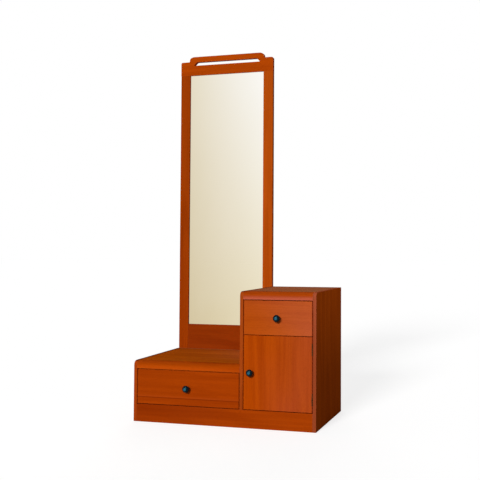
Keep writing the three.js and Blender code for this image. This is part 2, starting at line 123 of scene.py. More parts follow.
floor_mesh = bpy.data.meshes.new("floor")
floor_corners = [(x * floor_half, y * floor_half, 0) for x, y in ((-1, -1), (1, -1), (1, 1), (-1, 1))]
floor_mesh.from_pydata(floor_corners, [], [(0, 1, 2, 3)])
floor = bpy.data.objects.new("floor", floor_mesh)
floor.location.z = -floor_drop
scene.collection.objects.link(floor)
paint = material("floor_paint")
tree = paint.node_tree
matt = put(tree, "ShaderNodeBsdfDiffuse", {"Color": (floor_colour, floor_colour, floor_colour, 1)}).outputs[0]
glow = worked_out(tree, "MULTIPLY", seen_directly(tree), floor_glow)
light = put(tree, "ShaderNodeEmission", {"Color": (1, 1, 1, 1), "Strength": glow}).outputs[0]
both = put(tree, "ShaderNodeAddShader", {0: matt, 1: light}).outputs[0]
put(tree, "ShaderNodeOutputMaterial", {"Surface": both})
floor_mesh.materials.append(paint)


# Side panels: chipboard with cherry veneer on both faces, the grain upright, and strips of it on the front
# and top edges. Each is cut in one piece, with a rounded front corner at the top, a rebate for the back and
# holes for the shelf pins. The one in the middle serves both chests and is notched for the plinth.
def scaled(tree, scale, shift=(0, 0, 0)):
    """Object coordinates times a scale of one number or three, so that one unit is a cell of noise."""
    if not isinstance(scale, tuple):
        scale = (scale, scale, scale)
    place = put(tree, "ShaderNodeTexCoord").outputs["Object"]
    return put(tree, "ShaderNodeMapping", {"Vector": place, "Location": shift, "Scale": scale}).outputs[0]


def stretched(tree, along, across, length, shift=(0, 0, 0)):
    """The same, with one scale along the grain and another across it."""
    return scaled(tree, tuple(length if axis == along else across for axis in "xyz"), shift)


def place_on(tree, axis):
    """One axis of the Object coordinates."""
    place = put(tree, "ShaderNodeTexCoord").outputs["Object"]
    return put(tree, "ShaderNodeSeparateXYZ", {0: place}).outputs[axis]


def noise(tree, vector, detail=3.0, roughness=0.5, distortion=0.0):
    return put(tree, "ShaderNodeTexNoise", {
        "Vector": vector, "Scale": 1.0, "Detail": detail, "Roughness": roughness, "Distortion": distortion,
    }).outputs["Fac"]


def ranged(tree, value, low, high, to_low=0.0, to_high=1.0, kind="SMOOTHSTEP"):
    """The value's range from low to high brought to another range, with soft ends."""
    return put(tree, "ShaderNodeMapRange", {
        "Value": value, "From Min": low, "From Max": high, "To Min": to_low, "To Max": to_high,
    }, interpolation_type=kind).outputs[0]


def partly(tree, value, most):
    """A value from 0 to 1, brought down so that it is never more than this."""
    return ranged(tree, value, 0.0, 1.0, 0.0, most)


def mixed(tree, factor, first, second, blend="MIX"):
    """Mixes two colours, each a socket or three numbers."""
    colours = [c if isinstance(c, bpy.types.NodeSocket) else (*c, 1) for c in (first, second)]
    made = put(tree, "ShaderNodeMix", data_type="RGBA", blend_type=blend)
    for place, value in ((0, factor), (6, colours[0]), (7, colours[1])):
        if isinstance(value, bpy.types.NodeSocket):
            tree.links.new(value, made.inputs[place])
        else:
            made.inputs[place].default_value = value
    return made.outputs[2]


# In the veneers this mask paints a highlight on the edges; in the other finishes it marks real wear.
def wear_and_highlight_edge(tree, radius):
    """1 on an edge and 0 on a flat face: how far a rounded normal leans from the true one."""
    blunt = put(tree, "ShaderNodeBevel", {"Radius": radius}, samples=4).outputs[0]
    true = put(tree, "ShaderNodeNewGeometry").outputs["Normal"]
    lean = put(tree, "ShaderNodeVectorMath", {0: blunt, 1: true}, operation="DOT_PRODUCT")
    return ranged(tree, lean.outputs["Value"], 0.995, 0.86)


def surface(tree, colour, roughness, height, depth, **constants):
    """The shader and the output. Height is a bump of the given depth in metres."""
    bump = put(tree, "ShaderNodeBump", {"Strength": 1.0, "Distance": depth, "Height": height})
    made = put(tree, "ShaderNodeBsdfPrincipled", {
        "Base Color": colour, "Roughness": roughness, "Normal": bump.outputs[0],
    })
    for name, value in constants.items():
        made.inputs[name.replace("_", " ")].default_value = value
    put(tree, "ShaderNodeOutputMaterial", {"Surface": made.outputs[0]})


def veneer(name, along, shift, tone, lift=0.5, gloss=0.012, blush=0.003, figured=1.0, joint=None, fade=None):
    """Cherry veneer under satin lacquer: growth rings, streaks, veins, pores, slow drift and a painted
    highlight on the edges. Lift is how pale the painted edge highlight is, gloss the shine, blush the blue in
    the drift, a painted sheen, and figured how strong the figure is. Joint is the height of a thin level
    line, where two leaves of veneer meet.
    Fade is painted light or shade along the board: the axis, where it starts and ends, and what it multiplies
    the colour by before and after it."""
    made = material(name)
    tree = made.node_tree
    rings = noise(tree, stretched(tree, along, 9, 0.8, shift), 2.0, 0.45, 0.4)
    lines = ranged(tree, worked_out(tree, "SINE", worked_out(tree, "MULTIPLY", rings, 34.0)), -1.0, 1.0)
    streaks = noise(tree, stretched(tree, along, 150, 2.4, shift), 4.0, 0.6)
    bands = noise(tree, stretched(tree, along, 30, 0.7, shift), 2.0, 0.5)
    drift = noise(tree, stretched(tree, along, 2.6, 1.3, shift), 2.0, 0.5)
    pores = ranged(tree, noise(tree, stretched(tree, along, 1300, 46, shift), 1.0, 0.5), 0.6, 0.68)
    aside = [c + 3.7 for c in shift]
    veins = ranged(tree, noise(tree, stretched(tree, along, 190, 1.1, aside), 2.0, 0.5), 0.6, 0.7)
    figure = mixed(tree, 0.16, mixed(tree, 0.45, streaks, bands), lines)
    red, green, blue = tone
    darker, lighter = 1 - 0.16 * figured, 1 + 0.12 * figured
    late_wood = (red * darker, green * darker * 0.94, blue * 0.6)
    early_wood = (red * lighter, green * lighter * 1.06, blue * 1.3)
    # Blush makes the drift bluish pink: a painted sheen in patches.
    drifting = (red * 1.06, green * 1.16, blue + blush)
    colour = mixed(tree, ranged(tree, figure, 0.3, 0.7), late_wood, early_wood)
    colour = mixed(tree, ranged(tree, drift, 0.3, 0.7, 0.0, 0.6), colour, drifting)
    colour = mixed(tree, partly(tree, veins, 0.34), colour, (red * 0.72, green * 0.6, blue * 0.5))
    colour = mixed(tree, partly(tree, pores, 0.3), colour, (red * 0.4, green * 0.3, blue * 0.3))
    # A fade paints light or shade along the board, lighter or darker towards one end.
    if fade:
        axis, start, end, before, after = fade
        painted_light = mixed(tree, ranged(tree, place_on(tree, axis), start, end), before, after)
        colour = mixed(tree, 1.0, colour, painted_light, "MULTIPLY")
    if joint:
        up = place_on(tree, "Z")
        above = worked_out(tree, "GREATER_THAN", up, joint)
        glow = worked_out(tree, "MULTIPLY", above, ranged(tree, up, joint, joint + 0.016, 0.7, 0.0))
        colour = mixed(tree, glow, colour, (red * 1.2, green * 1.4, blue + 0.004))
        apart = worked_out(tree, "ABSOLUTE", worked_out(tree, "SUBTRACT", up, joint))
        glue = ranged(tree, apart, 0.0009, 0.0026, 0.8, 0.0)
        colour = mixed(tree, glue, colour, (red * 0.5, green * 0.4, blue * 0.4))
    # Painted highlight: the edges are made paler and pinker, as if their rounding caught the light.
    paler = (red * 1.12, green * 1.5 + 0.03, blue + 0.05)
    colour = mixed(tree, partly(tree, wear_and_highlight_edge(tree, 0.002), lift), colour, paler)
    roughness = ranged(tree, streaks, 0.2, 0.8, 0.4, 0.5)
    height = mixed(tree, 0.5, streaks, mixed(tree, 0.5, pores, lines))
    surface(tree, colour, roughness, height, 0.00012,
            Specular_IOR_Level=gloss, Specular_Tint=(1, 0.5, 0.1, 1))
    return made


def chipboard(name):
    """Pressed chips, sawn through: pale and dark flecks, rough to the touch."""
    made = material(name)
    tree = made.node_tree
    place = put(tree, "ShaderNodeTexCoord").outputs["Object"]
    chips = put(tree, "ShaderNodeTexVoronoi", {"Vector": place, "Scale": 620.0, "Randomness": 1.0}).outputs
    chip = put(tree, "ShaderNodeSeparateColor", {0: chips["Color"]}).outputs[0]
    dust = noise(tree, scaled(tree, 900), 3.0, 0.6)
    colour = mixed(tree, chip, (0.3, 0.19, 0.1), (0.6, 0.44, 0.27))
    colour = mixed(tree, ranged(tree, dust, 0.4, 0.7, 0, 0.4), colour, (0.16, 0.09, 0.045))
    roughness = ranged(tree, dust, 0.3, 0.7, 0.75, 0.92)
    surface(tree, colour, roughness, chips["Distance"], 0.0004, Specular_IOR_Level=0.2)
    return made


def bow(start, middle, end, steps):
    """Points of a curve that leaves start towards middle and comes in to end from there."""
    start, middle, end = Vector(start), Vector(middle), Vector(end)
    return [start * (1 - t) ** 2 + middle * 2 * t * (1 - t) + end * t * t
            for t in (step / steps for step in range(steps + 1))]


def outline(corners, steps=16):
    """The points of an outline whose corners are (u, v, radius), anticlockwise."""
    points = []
    for place, (u, v, radius) in enumerate(corners):
        corner = Vector((u, v))
        if not radius:
            points.append(corner)
            continue
        before = Vector(corners[place - 1][:2])
        after = Vector(corners[(place + 1) % len(corners)][:2])
        points += bow(corner + (before - corner).normalized() * radius, corner,
                      corner + (after - corner).normalized() * radius, steps)
    return points


def prism(points, axis, low, high):
    """A closed solid of this outline, from low to high along the axis."""
    order = {"x": (2, 0, 1), "y": (0, 2, 1), "z": (0, 1, 2)}[axis]
    bm = bmesh.new()
    ends = []
    for level in (low, high):
        row = [(u, v, level) for u, v in points]
        ends.append([bm.verts.new([p[i] for i in order]) for p in row])
    bm.faces.new(ends[0])
    bm.faces.new(list(reversed(ends[1])))
    for place in range(len(points)):
        after = (place + 1) % len(points)
        bm.faces.new((ends[0][after], ends[0][place], ends[1][place], ends[1][after]))
    bmesh.ops.recalc_face_normals(bm, faces=bm.faces)
    return bm


def fronted(low, high, lower, upper, steps=24):
    """A board in this box, whose lower and upper front edges have these radii."""
    shape = outline([(low.y, low.z, lower), (high.y, low.z, 0), (high.y, high.z, 0), (low.y, high.z, upper)],
                    steps)
    return prism(shape, "x", low.x, high.x)


def block(low, high):
    foot = [(low[0], low[1]), (high[0], low[1]), (high[0], high[1]), (low[0], high[1])]
    return prism(foot, "z", low[2], high[2])


def rod(axis, low, high, centre, radius, sides=20):
    ring = [(centre[0] + radius * math.cos(a), centre[1] + radius * math.sin(a))
            for a in (2 * math.pi * k / sides for k in range(sides))]
    return prism(ring, axis, low, high)


def sharp_edges(bm, angle=30):
    return [e for e in bm.edges if len(e.link_faces) == 2 and e.calc_face_angle(0) > math.radians(angle)]


def rounded(bm, edges, width, segments):
    bmesh.ops.bevel(bm, geom=edges, offset=width, segments=segments, profile=0.5,
                    affect="EDGES", clamp_overlap=True)


def piece(name, bm, *finishes):
    """An object of this mesh, smooth except at its sharp edges."""
    bmesh.ops.recalc_face_normals(bm, faces=bm.faces)
    mesh = bpy.data.meshes.new(name)
    bm.to_mesh(mesh)
    bm.free()
    mesh.shade_smooth()
    mesh.set_sharp_from_angle(angle=math.radians(40))
    for finish in finishes:
        mesh.materials.append(finish)
    made = bpy.data.objects.new(name, mesh)
    scene.collection.objects.link(made)
    flat = made.modifiers.new("flat_faces", "WEIGHTED_NORMAL")
    flat.weight = 100
    flat.keep_sharp = True
    return made


def cut(made, *cutters, inside=0):
    """Takes the cutters, each a mesh in the making, out of a piece. Inside is the finish of the cuts."""
    tools = []
    for bm in cutters:
        for face in bm.faces:
            face.material_index = inside
        tools.append(piece("cutter", bm, *made.data.materials))
    made.modifiers.clear()
    for tool in tools:
        step = made.modifiers.new("cut", "BOOLEAN")
        step.object = tool
        step.solver = "EXACT"
    bpy.context.view_layer.update()
    shaped = made.evaluated_get(bpy.context.evaluated_depsgraph_get())
    mesh = bpy.data.meshes.new_from_object(shaped)
    made.modifiers.clear()
    for tool in tools:
        bpy.data.objects.remove(tool)
    bm = bmesh.new()
    bm.from_mesh(mesh)
    name, finishes = made.name, list(mesh.materials)
    bpy.data.objects.remove(made)
    return piece(name, bm, *finishes)


def placed(made, body, slot, *nodes):
    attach(made, body)
    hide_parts(*nodes)
    return made


def near_height(node, corner, start, end):
    """Where painted light or shade changes: from start to end above the low (0) or the high (1) corner of a
    node's box.
    """
    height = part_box(node)[corner].z
    return "Z", height + start, height + end


nose = 0.022
strip_round = 0.0015
beyond = 0.01
pin_radius = 0.0028
pin_pitch = 0.032
hole_depth = 0.02
hole_play = 0.0003
# The right panel and its edge strip are painted lighter towards the top: painted light.
right_painted_light = ("Z", 0.15, 0.62)
raw_edge = chipboard("raw_chipboard")
# The inner faces of the left and middle panels are painted lighter than the outer ones, to lift the shade in
# the gaps beside the fronts: painted light.
inner_veneer = veneer("inner_side_veneer", "z", (9.6, 5.8, 0.3), (0.6, 0.085, 0.003), gloss=0.0)
side_colours = {
    "left_side_panel": (
        veneer("left_side_veneer", "z", (3.1, 0.4, 0.7), (0.37, 0.046, 0.0015)),
        # The fade paints shade along its top edge, next to the top board.
        veneer("left_edge_strip", "z", (0.6, 3.3, 2.2), (0.35, 0.045, 0.0015), lift=0.25, gloss=0.0,
               fade=(*near_height("left_side_panel", 1, -0.006, -0.001), (1, 1, 1), (0.42, 0.5, 1.3))),
    ),
    "middle_side_panel": (
        veneer("middle_side_veneer", "z", (7.9, 2.2, 5.3), (0.36, 0.05, 0.004)),
        # The fade paints shade along its top edge, next to the top board.
        veneer("middle_edge_strip", "z", (5.2, 6.6, 1.4), (0.345, 0.052, 0.005), lift=0.3, gloss=0.0,
               fade=(*near_height("middle_side_panel", 1, -0.006, -0.001), (1, 1, 1), (0.55, 0.6, 1.3))),
    ),
    "right_side_panel": (
        veneer("right_side_veneer", "z", (11.3, 6.1, 2.9), (0.42, 0.061, 0.002), lift=0.4, gloss=0.0,
               fade=(*right_painted_light, (0.9, 0.93, 1.0), (1.5, 1.55, 1.6))),
        # The edge strip's pale pinkish tone is a painted highlight on the front edge.
        veneer("right_edge_strip", "z", (2.9, 1.2, 7.5), (0.36, 0.07, 0.027), lift=0.3, gloss=0.0,
               fade=(*right_painted_light, (0.8, 0.74, 0.62), (0.94, 0.93, 0.92))),
    ),
}
plinth_low, plinth_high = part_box("front_plinth")
backs = [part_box("low_back_panel"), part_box("tall_back_panel")]
outwards = Vector((0, beyond, beyond))
for name, (face_veneer, strip_veneer) in side_colours.items():
    low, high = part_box(name)
    bm = fronted(low, high, 0, nose)
    shown = [e for e in sharp_edges(bm) if any(v.co.y < high.y - 0.001 for v in e.verts)
             and any(v.co.z > low.z + 0.001 for v in e.verts)]
    rounded(bm, shown, strip_round, 4)
    for face in bm.faces:
        if abs(face.normal.x) < 0.9:
            raw = face.normal.y > 0.9 or face.normal.z < -0.9
            face.material_index = 2 if raw else 1
        # Inner faces of the left and middle panels take the lighter, painted-light veneer.
        elif face.normal.x > 0 and name != "right_side_panel":
            face.material_index = 3
    panel = piece(name.replace("panel", "board"), bm, face_veneer, strip_veneer, raw_edge, inner_veneer)
    cutters = [block(Vector((back_low.x, back_low.y, low.z - beyond)), back_high + outwards)
               for back_low, back_high in backs if back_low.x < high.x and back_high.x > low.x]
    if plinth_low.x < low.x and high.x < plinth_high.x:
        cutters.append(block(plinth_low - outwards, plinth_high))
    for side in ("left", "right"):
        for row in ("front", "rear"):
            pin_low, pin_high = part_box(f"shelf_pin_{row}_{side}")
            if pin_low.x >= high.x or pin_high.x <= low.x:
                continue
            if side == "left":
                ends = (pin_low.x - hole_play, pin_low.x + hole_depth)
            else:
                ends = (pin_high.x - hole_depth, pin_high.x + hole_play)
            centre = (pin_low + pin_high) / 2
            heights = [centre.z + k * pin_pitch for k in range(-2, 3)]
            cutters += [rod("x", *ends, (centre.y, height), pin_radius, 16) for height in heights]
    placed(cut(panel, *cutters, inside=2), "carcass", "carcass_wood", name)


# Tops and rounded rails: under each top a solid rail closes the front, and its upper edge is planed to the
# same round as the corners of the side panels. The top boards butt against the rails and are glued to them.
rail_round = 0.0018
# The flat front of each rail is painted paler and pinker than its rounded top, and paler still near its lower
# edge: a painted highlight.
rail_colours = {
    "low": (
        veneer("low_rail_veneer", "x", (2.3, 5.2, 1.1), (0.32, 0.043, 0.001), lift=0.2, gloss=0.0),
        veneer("low_rail_face", "x", (4.1, 7.3, 2.5), (0.405, 0.05, 0.0015), lift=0.8, blush=0.0,
               fade=(*near_height("low_front_rail", 0, 0.008, 0.027), (1.2, 1.28, 1.5), (0.78, 0.8, 0.2))),
    ),
    "tall": (
        veneer("tall_rail_veneer", "x", (9.4, 1.7, 4.6), (0.34, 0.046, 0.002), lift=0.2, gloss=0.0),
        veneer("tall_rail_face", "x", (0.8, 2.9, 6.3), (0.46, 0.074, 0.016), lift=0.8,
               fade=(*near_height("tall_front_rail", 0, 0.002, 0.024), (1.07, 1.2, 2.6), (0.74, 0.58, 0.08))),
    ),
}
# The low top is painted darker to the left and with a pale sheen to the right, and the tall top's greyish
# tone holds a painted sheen.
top_colours = {
    "low": veneer("low_top_veneer", "x", (7.7, 0.5, 3.2), (0.36, 0.06, 0.003), gloss=0.0, blush=0.02,
                  fade=("X", -0.41, 0.06, (0.93, 1.0, 0.2), (1.02, 1.22, 1.2))),
    "tall": veneer("tall_top_veneer", "x", (3.6, 8.4, 5.9), (0.31, 0.09, 0.036), gloss=0.0),
}


def boarded(name, node, *finishes, soft=0.0006):
    """A flat board in the place of a node, with its edges a little rounded."""
    bm = block(*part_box(node))
    rounded(bm, sharp_edges(bm), soft, 2)
    return piece(name, bm, *finishes)


for name, finishes in rail_colours.items():
    low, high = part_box(f"{name}_front_rail")
    bm = fronted(low, high, rail_round, nose)
    for face in bm.faces:
        # Faces turned to the front take the painted highlight.
        face.material_index = 1 if face.normal.y < -0.9 else 0
    placed(piece(f"{name}_rounded_rail", bm, *finishes), "carcass", "front_wood", f"{name}_front_rail")
    top = boarded(f"{name}_top_board", f"{name}_top_panel", top_colours[name], soft=0.0002)
    placed(top, "carcass", "carcass_wood", f"{name}_top_panel")


# Plinth: one long board of veneered chipboard under both chests, with the grain lying along it. It runs
# through the notch in the middle panel and is glued between the outer panels.
# The plinth is painted darker to the left and lighter to the right: painted light.
plinth_veneer = veneer("plinth_veneer", "x", (5.5, 8.1, 3.3), (0.33, 0.038, 0.001),
                       fade=("X", plinth_low.x, plinth_high.x, (0.87, 0.84, 0.6), (1.1, 1.2, 1.0)))
plinth_board = piece("plinth_board", fronted(plinth_low, plinth_high, 0, rail_round, 6), plinth_veneer)
placed(plinth_board, "carcass", "front_wood", "front_plinth")


# Inside boards: chipboard with a pale beech film. The shelf and the divider have a cherry strip on their
# front edge, glued on and trimmed, and the rear plinths and bottoms are left plain.
strip_thickness = 0.0012


def film(name, along, shift, light=(0.5, 0.33, 0.19), dark=(0.37, 0.22, 0.11)):
    """Printed beech film: fine short flecks on an even ground."""
    made = material(name)
    tree = made.node_tree
    ground = noise(tree, stretched(tree, along, 26, 1.1, shift), 3.0, 0.5)
    flecks = ranged(tree, noise(tree, stretched(tree, along, 420, 60, shift), 2.0, 0.5), 0.56, 0.66)
    colour = mixed(tree, ranged(tree, ground, 0.3, 0.7), dark, light)
    colour = mixed(tree, partly(tree, flecks, 0.4), colour, (0.2, 0.1, 0.045))
    colour = mixed(tree, partly(tree, wear_and_highlight_edge(tree, 0.0012), 0.4), colour, (0.6, 0.44, 0.29))
    roughness = ranged(tree, ground, 0.3, 0.7, 0.5, 0.62)
    surface(tree, colour, roughness, flecks, 0.00005, Specular_IOR_Level=0.3)
    return made


def lipped(name, node):
    """A board whose front edge carries a strip of veneer."""
    low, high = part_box(node)
    seam = low.y + strip_thickness
    bm = block(low, high)
    rounded(bm, sharp_edges(bm), 0.0005, 2)
    bmesh.ops.bisect_plane(bm, geom=[*bm.verts, *bm.edges, *bm.faces],
                           plane_co=(0, seam, 0), plane_no=(0, 1, 0))
    for face in bm.faces:
        face.material_index = 1 if face.calc_center_median().y < seam else 0
    return piece(name, bm, inside_film, edge_strip)


inside_film = film("beech_film", "x", (0.4, 1.9, 6.2))
edge_strip = veneer("edge_strip_veneer", "x", (4.4, 3.8, 8.6), (0.36, 0.045, 0.002))
for node in ("low_bottom_panel", "tall_bottom_panel", "low_rear_plinth", "tall_rear_plinth"):
    filmed = boarded(node.replace("panel", "board") + "_film", node, inside_film)
    placed(filmed, "carcass", "inside_board", node)
placed(lipped("shelf_board", "shelf"), "carcass", "inside_board", "shelf")
placed(lipped("divider_board", "divider_panel"), "carcass", "inside_board", "divider_panel")


# Backs: thin hardboard, smooth outside and with a cross-hatched press mark. Each lies in the rebates of its
# chest. The tall one is nailed all round and to the divider, and the low one to the middle panel.
hatch_pitch = 0.0025
nail_inset = 0.003
nail_drop = 0.008
nail_pitch = 0.085
back_nail = {"Radius": 0.0017, "Height": 0.0004, "Cross": False}


def hardboard(name, shift, tone=1.0):
    """Pressed brown fibre, cloudy, with single pale fibres and paler edges."""
    made = material(name)
    tree = made.node_tree
    fibres = noise(tree, scaled(tree, 420, shift), 4.0, 0.65)
    clouds = noise(tree, scaled(tree, 7, shift), 3.0, 0.55)
    waves = [worked_out(tree, "MULTIPLY", place_on(tree, axis), 2 * math.pi / hatch_pitch) for axis in "XZ"]
    hatch = worked_out(tree, "ADD", *[worked_out(tree, "SINE", wave) for wave in waves])
    dark, light, fibre, edge = ([c * tone for c in brown] for brown in (
        (0.3, 0.17, 0.08), (0.35, 0.205, 0.1), (0.5, 0.33, 0.19), (0.4, 0.25, 0.14),
    ))
    colour = mixed(tree, ranged(tree, clouds, 0.3, 0.7), dark, light)
    colour = mixed(tree, ranged(tree, fibres, 0.5, 0.75, 0, 0.5), colour, fibre)
    colour = mixed(tree, partly(tree, wear_and_highlight_edge(tree, 0.001), 0.4), colour, edge)
    roughness = ranged(tree, fibres, 0.3, 0.7, 0.72, 0.9)
    height = mixed(tree, 0.35, fibres, ranged(tree, hatch, -2.0, 2.0))
    surface(tree, colour, roughness, height, 0.00015, Specular_IOR_Level=0.25)
    return made


def brushed(name, colour, roughness, shift=(0, 0, 0), wear=(0.7, 0.68, 0.65)):
    """Bare or plated metal: fine turning marks, a little tarnish in clouds and bright edges."""
    made = material(name)
    tree = made.node_tree
    marks = noise(tree, stretched(tree, "x", 2200, 160, shift), 2.0, 0.5)
    clouds = noise(tree, scaled(tree, 70, shift), 4.0, 0.6)
    tarnished = [c * 0.62 for c in colour]
    tint = mixed(tree, ranged(tree, clouds, 0.35, 0.7), colour, tarnished)
    tint = mixed(tree, partly(tree, wear_and_highlight_edge(tree, 0.0006), 0.7), tint, wear)
    rough = ranged(tree, clouds, 0.3, 0.7, roughness, roughness + 0.16)
    surface(tree, tint, rough, marks, 0.00003, Metallic=1.0)
    return made


def head_tree():
    """Puts a domed head, with or without a cross cut in it, on every point of a mesh."""
    tree = bpy.data.node_groups.new("nail_and_screw_heads", "GeometryNodeTree")
    for name, kind in (("Places", "Geometry"), ("Radius", "Float"), ("Height", "Float"),
                       ("Cross", "Bool"), ("Facing", "Rotation"), ("Finish", "Material")):
        tree.interface.new_socket(name, in_out="INPUT", socket_type="NodeSocket" + kind)
    tree.interface.new_socket("Heads", in_out="OUTPUT", socket_type="NodeSocketGeometry")
    given = put(tree, "NodeGroupInput").outputs
    slug = put(tree, "GeometryNodeMeshCylinder", {
        "Vertices": 20, "Fill Segments": 3, "Radius": given["Radius"],
        "Depth": worked_out(tree, "MULTIPLY", given["Height"], 2.0),
    }, fill_type="TRIANGLE_FAN")
    place = put(tree, "GeometryNodeInputPosition").outputs[0]
    axes = put(tree, "ShaderNodeSeparateXYZ", {0: place}).outputs
    flat = put(tree, "ShaderNodeCombineXYZ", {0: axes[0], 1: axes[1]}).outputs[0]
    reach = put(tree, "ShaderNodeVectorMath", {0: flat}, operation="LENGTH").outputs["Value"]
    share = worked_out(tree, "POWER", worked_out(tree, "DIVIDE", reach, given["Radius"]), 2.0)
    drop = worked_out(tree, "MULTIPLY", worked_out(tree, "MULTIPLY", share, given["Height"]), -0.7)
    upper = put(tree, "FunctionNodeCompare", {0: axes[2], 1: 0.0}, operation="GREATER_THAN").outputs[0]
    offset = put(tree, "ShaderNodeCombineXYZ", {2: drop}).outputs[0]
    dome = put(tree, "GeometryNodeSetPosition", {
        "Geometry": slug.outputs[0], "Selection": upper, "Offset": offset,
    }).outputs[0]
    slots = put(tree, "GeometryNodeJoinGeometry")
    for long, wide in ((1.1, 0.24), (0.24, 1.1)):
        size = put(tree, "ShaderNodeCombineXYZ", {
            0: worked_out(tree, "MULTIPLY", given["Radius"], long),
            1: worked_out(tree, "MULTIPLY", given["Radius"], wide),
            2: given["Height"],
        }).outputs[0]
        bar = put(tree, "GeometryNodeMeshCube", {"Size": size}).outputs[0]
        lift = put(tree, "ShaderNodeCombineXYZ", {2: given["Height"]}).outputs[0]
        bar = put(tree, "GeometryNodeTransform", {"Geometry": bar, "Translation": lift}).outputs[0]
        tree.links.new(bar, slots.inputs[0])
    crossed = put(tree, "GeometryNodeMeshBoolean", {
        "Self Intersection": True, "Mesh 1": dome, "Mesh 2": slots.outputs[0],
    }, operation="DIFFERENCE", solver="EXACT").outputs[0]
    head = put(tree, "GeometryNodeSwitch", {"Switch": given["Cross"], "False": dome, "True": crossed},
               input_type="GEOMETRY").outputs[0]
    rows = put(tree, "GeometryNodeInstanceOnPoints", {
        "Points": given["Places"], "Instance": head, "Rotation": given["Facing"],
    }).outputs[0]
    real = put(tree, "GeometryNodeRealizeInstances", {0: rows}).outputs[0]
    painted = put(tree, "GeometryNodeSetMaterial", {"Geometry": real, "Material": given["Finish"]})
    put(tree, "NodeGroupOutput", {0: painted.outputs[0]})
    return tree


heads = head_tree()
quarter = math.pi / 2
facings = {"back": (-quarter, 0, 0), "left": (0, -quarter, 0), "right": (0, quarter, 0)}


def row_of_heads(name, places, facing, shape, finish, body):
    """Nails or screws at these places, driven in so far that only their heads show."""
    mesh = bpy.data.meshes.new(name)
    mesh.from_pydata(places, [], [])
    made = bpy.data.objects.new(name, mesh)
    scene.collection.objects.link(made)
    step = made.modifiers.new("heads", "NODES")
    step.node_group = heads
    values = {**shape, "Facing": facings[facing], "Finish": finish}
    for item in heads.interface.items_tree:
        if item.name in values:
            step[item.identifier] = values[item.name]
    bpy.context.view_layer.update()
    shaped = made.evaluated_get(bpy.context.evaluated_depsgraph_get())
    result = bpy.data.meshes.new_from_object(shaped)
    bpy.data.objects.remove(made)
    bm = bmesh.new()
    bm.from_mesh(result)
    bmesh.ops.remove_doubles(bm, verts=bm.verts, dist=0.000001)
    made = piece(name, bm, finish)
    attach(made, body)


def spread(low, high, pitch, margin):
    """Evenly spaced places from low to high, about a pitch apart."""
    count = max(2, round((high - low - 2 * margin) / pitch) + 1)
    return [low + margin + (high - low - 2 * margin) * k / (count - 1) for k in range(count)]


back_hardboard = hardboard("back_hardboard", (0.7, 3.3, 1.8), tone=0.62)
for node in ("low_back_panel", "tall_back_panel"):
    sheet = boarded(node.replace("panel", "sheet"), node, back_hardboard, soft=0.0003)
    placed(sheet, "carcass", "hardboard", node)
nail_steel = brushed("nail_steel", (0.4, 0.39, 0.37), 0.38, shift=(1, 6, 4))
low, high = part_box("tall_back_panel")
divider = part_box("divider_panel")
columns = [low.x + nail_inset, high.x - nail_inset]
rows = [low.z + nail_drop, (divider[0].z + divider[1].z) / 2, high.z - nail_drop]
places = [(x, high.y, z) for x in columns for z in spread(low.z, high.z, nail_pitch, 0.02)]
places += [(x, high.y, z) for z in rows for x in spread(low.x, high.x, nail_pitch, 0.03)]
low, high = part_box("low_back_panel")
places += [(high.x - nail_inset, high.y, z) for z in spread(low.z, high.z, nail_pitch, 0.02)]
row_of_heads("back_nails", places, "back", back_nail, nail_steel, "carcass")


# Shelf pins: four of turned steel, with their ends chamfered so that they enter their holes easily. They
# are pushed in by hand, and the shelf lies on them.
def softer(name, node, *finishes, width=0.0004, segments=2):
    """A copy of a node with its doubles merged, its flat faces made whole and its edges rounded."""
    bm = bmesh.new()
    bm.from_mesh(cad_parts[node].data)
    bmesh.ops.remove_doubles(bm, verts=bm.verts, dist=0.00001)
    bmesh.ops.dissolve_limit(bm, angle_limit=math.radians(0.5), verts=bm.verts, edges=bm.edges)
    rounded(bm, sharp_edges(bm), width, segments)
    return piece(name, bm, *finishes)


pin_steel = brushed("pin_steel", (0.62, 0.63, 0.64), 0.26)
for side in ("left", "right"):
    for row in ("front", "rear"):
        node = f"shelf_pin_{row}_{side}"
        stud = softer(f"shelf_stud_{row}_{side}", node, pin_steel, width=0.0007, segments=3)
        placed(stud, "carcass", "steel", node)


# Drawers: a veneered front with softened edges, and behind it a box of solid beech, with a groove in each
# side for the runner and a hardboard bottom let into the sides. The runners are glued to the side panels.
front_round = 0.0018
joint_share = 0.2
# The tall drawer and the door are painted pinker towards the right: a painted sheen.
front_painted_sheen = ("X", 0.1, 0.42)
low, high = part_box("low_drawer_front")
front_colours = {
    "low_drawer": veneer("low_front_veneer", "x", (6.8, 2.9, 9.9), (0.35, 0.042, 0.001), blush=0.0,
                         joint=low.z + joint_share * (high.z - low.z)),
    "tall_drawer": veneer("tall_front_veneer", "x", (1.6, 7.7, 0.9), (0.45, 0.07, 0.004), blush=0.026,
                          figured=0.7, fade=(*front_painted_sheen, (0.94, 0.9, 0.4), (1.02, 1.13, 1.7))),
    "door": veneer("door_veneer", "z", (8.3, 4.9, 2.2), (0.42, 0.057, 0.0015), blush=0.022, figured=0.8,
                   fade=(*front_painted_sheen, (1.01, 0.98, 0.2), (0.95, 1.0, 1.5))),
}
# The narrow faces are painted much lighter than the fronts, and the right-hand ends lighter still, to lift
# the shade in the gaps: painted light.
front_strip = veneer("front_edge_strip", "x", (7.4, 0.3, 4.8), (0.62, 0.09, 0.006), gloss=0.0)
right_strip = veneer("right_end_strip", "z", (2.1, 9.2, 6.4), (0.93, 0.15, 0.03), gloss=0.0)


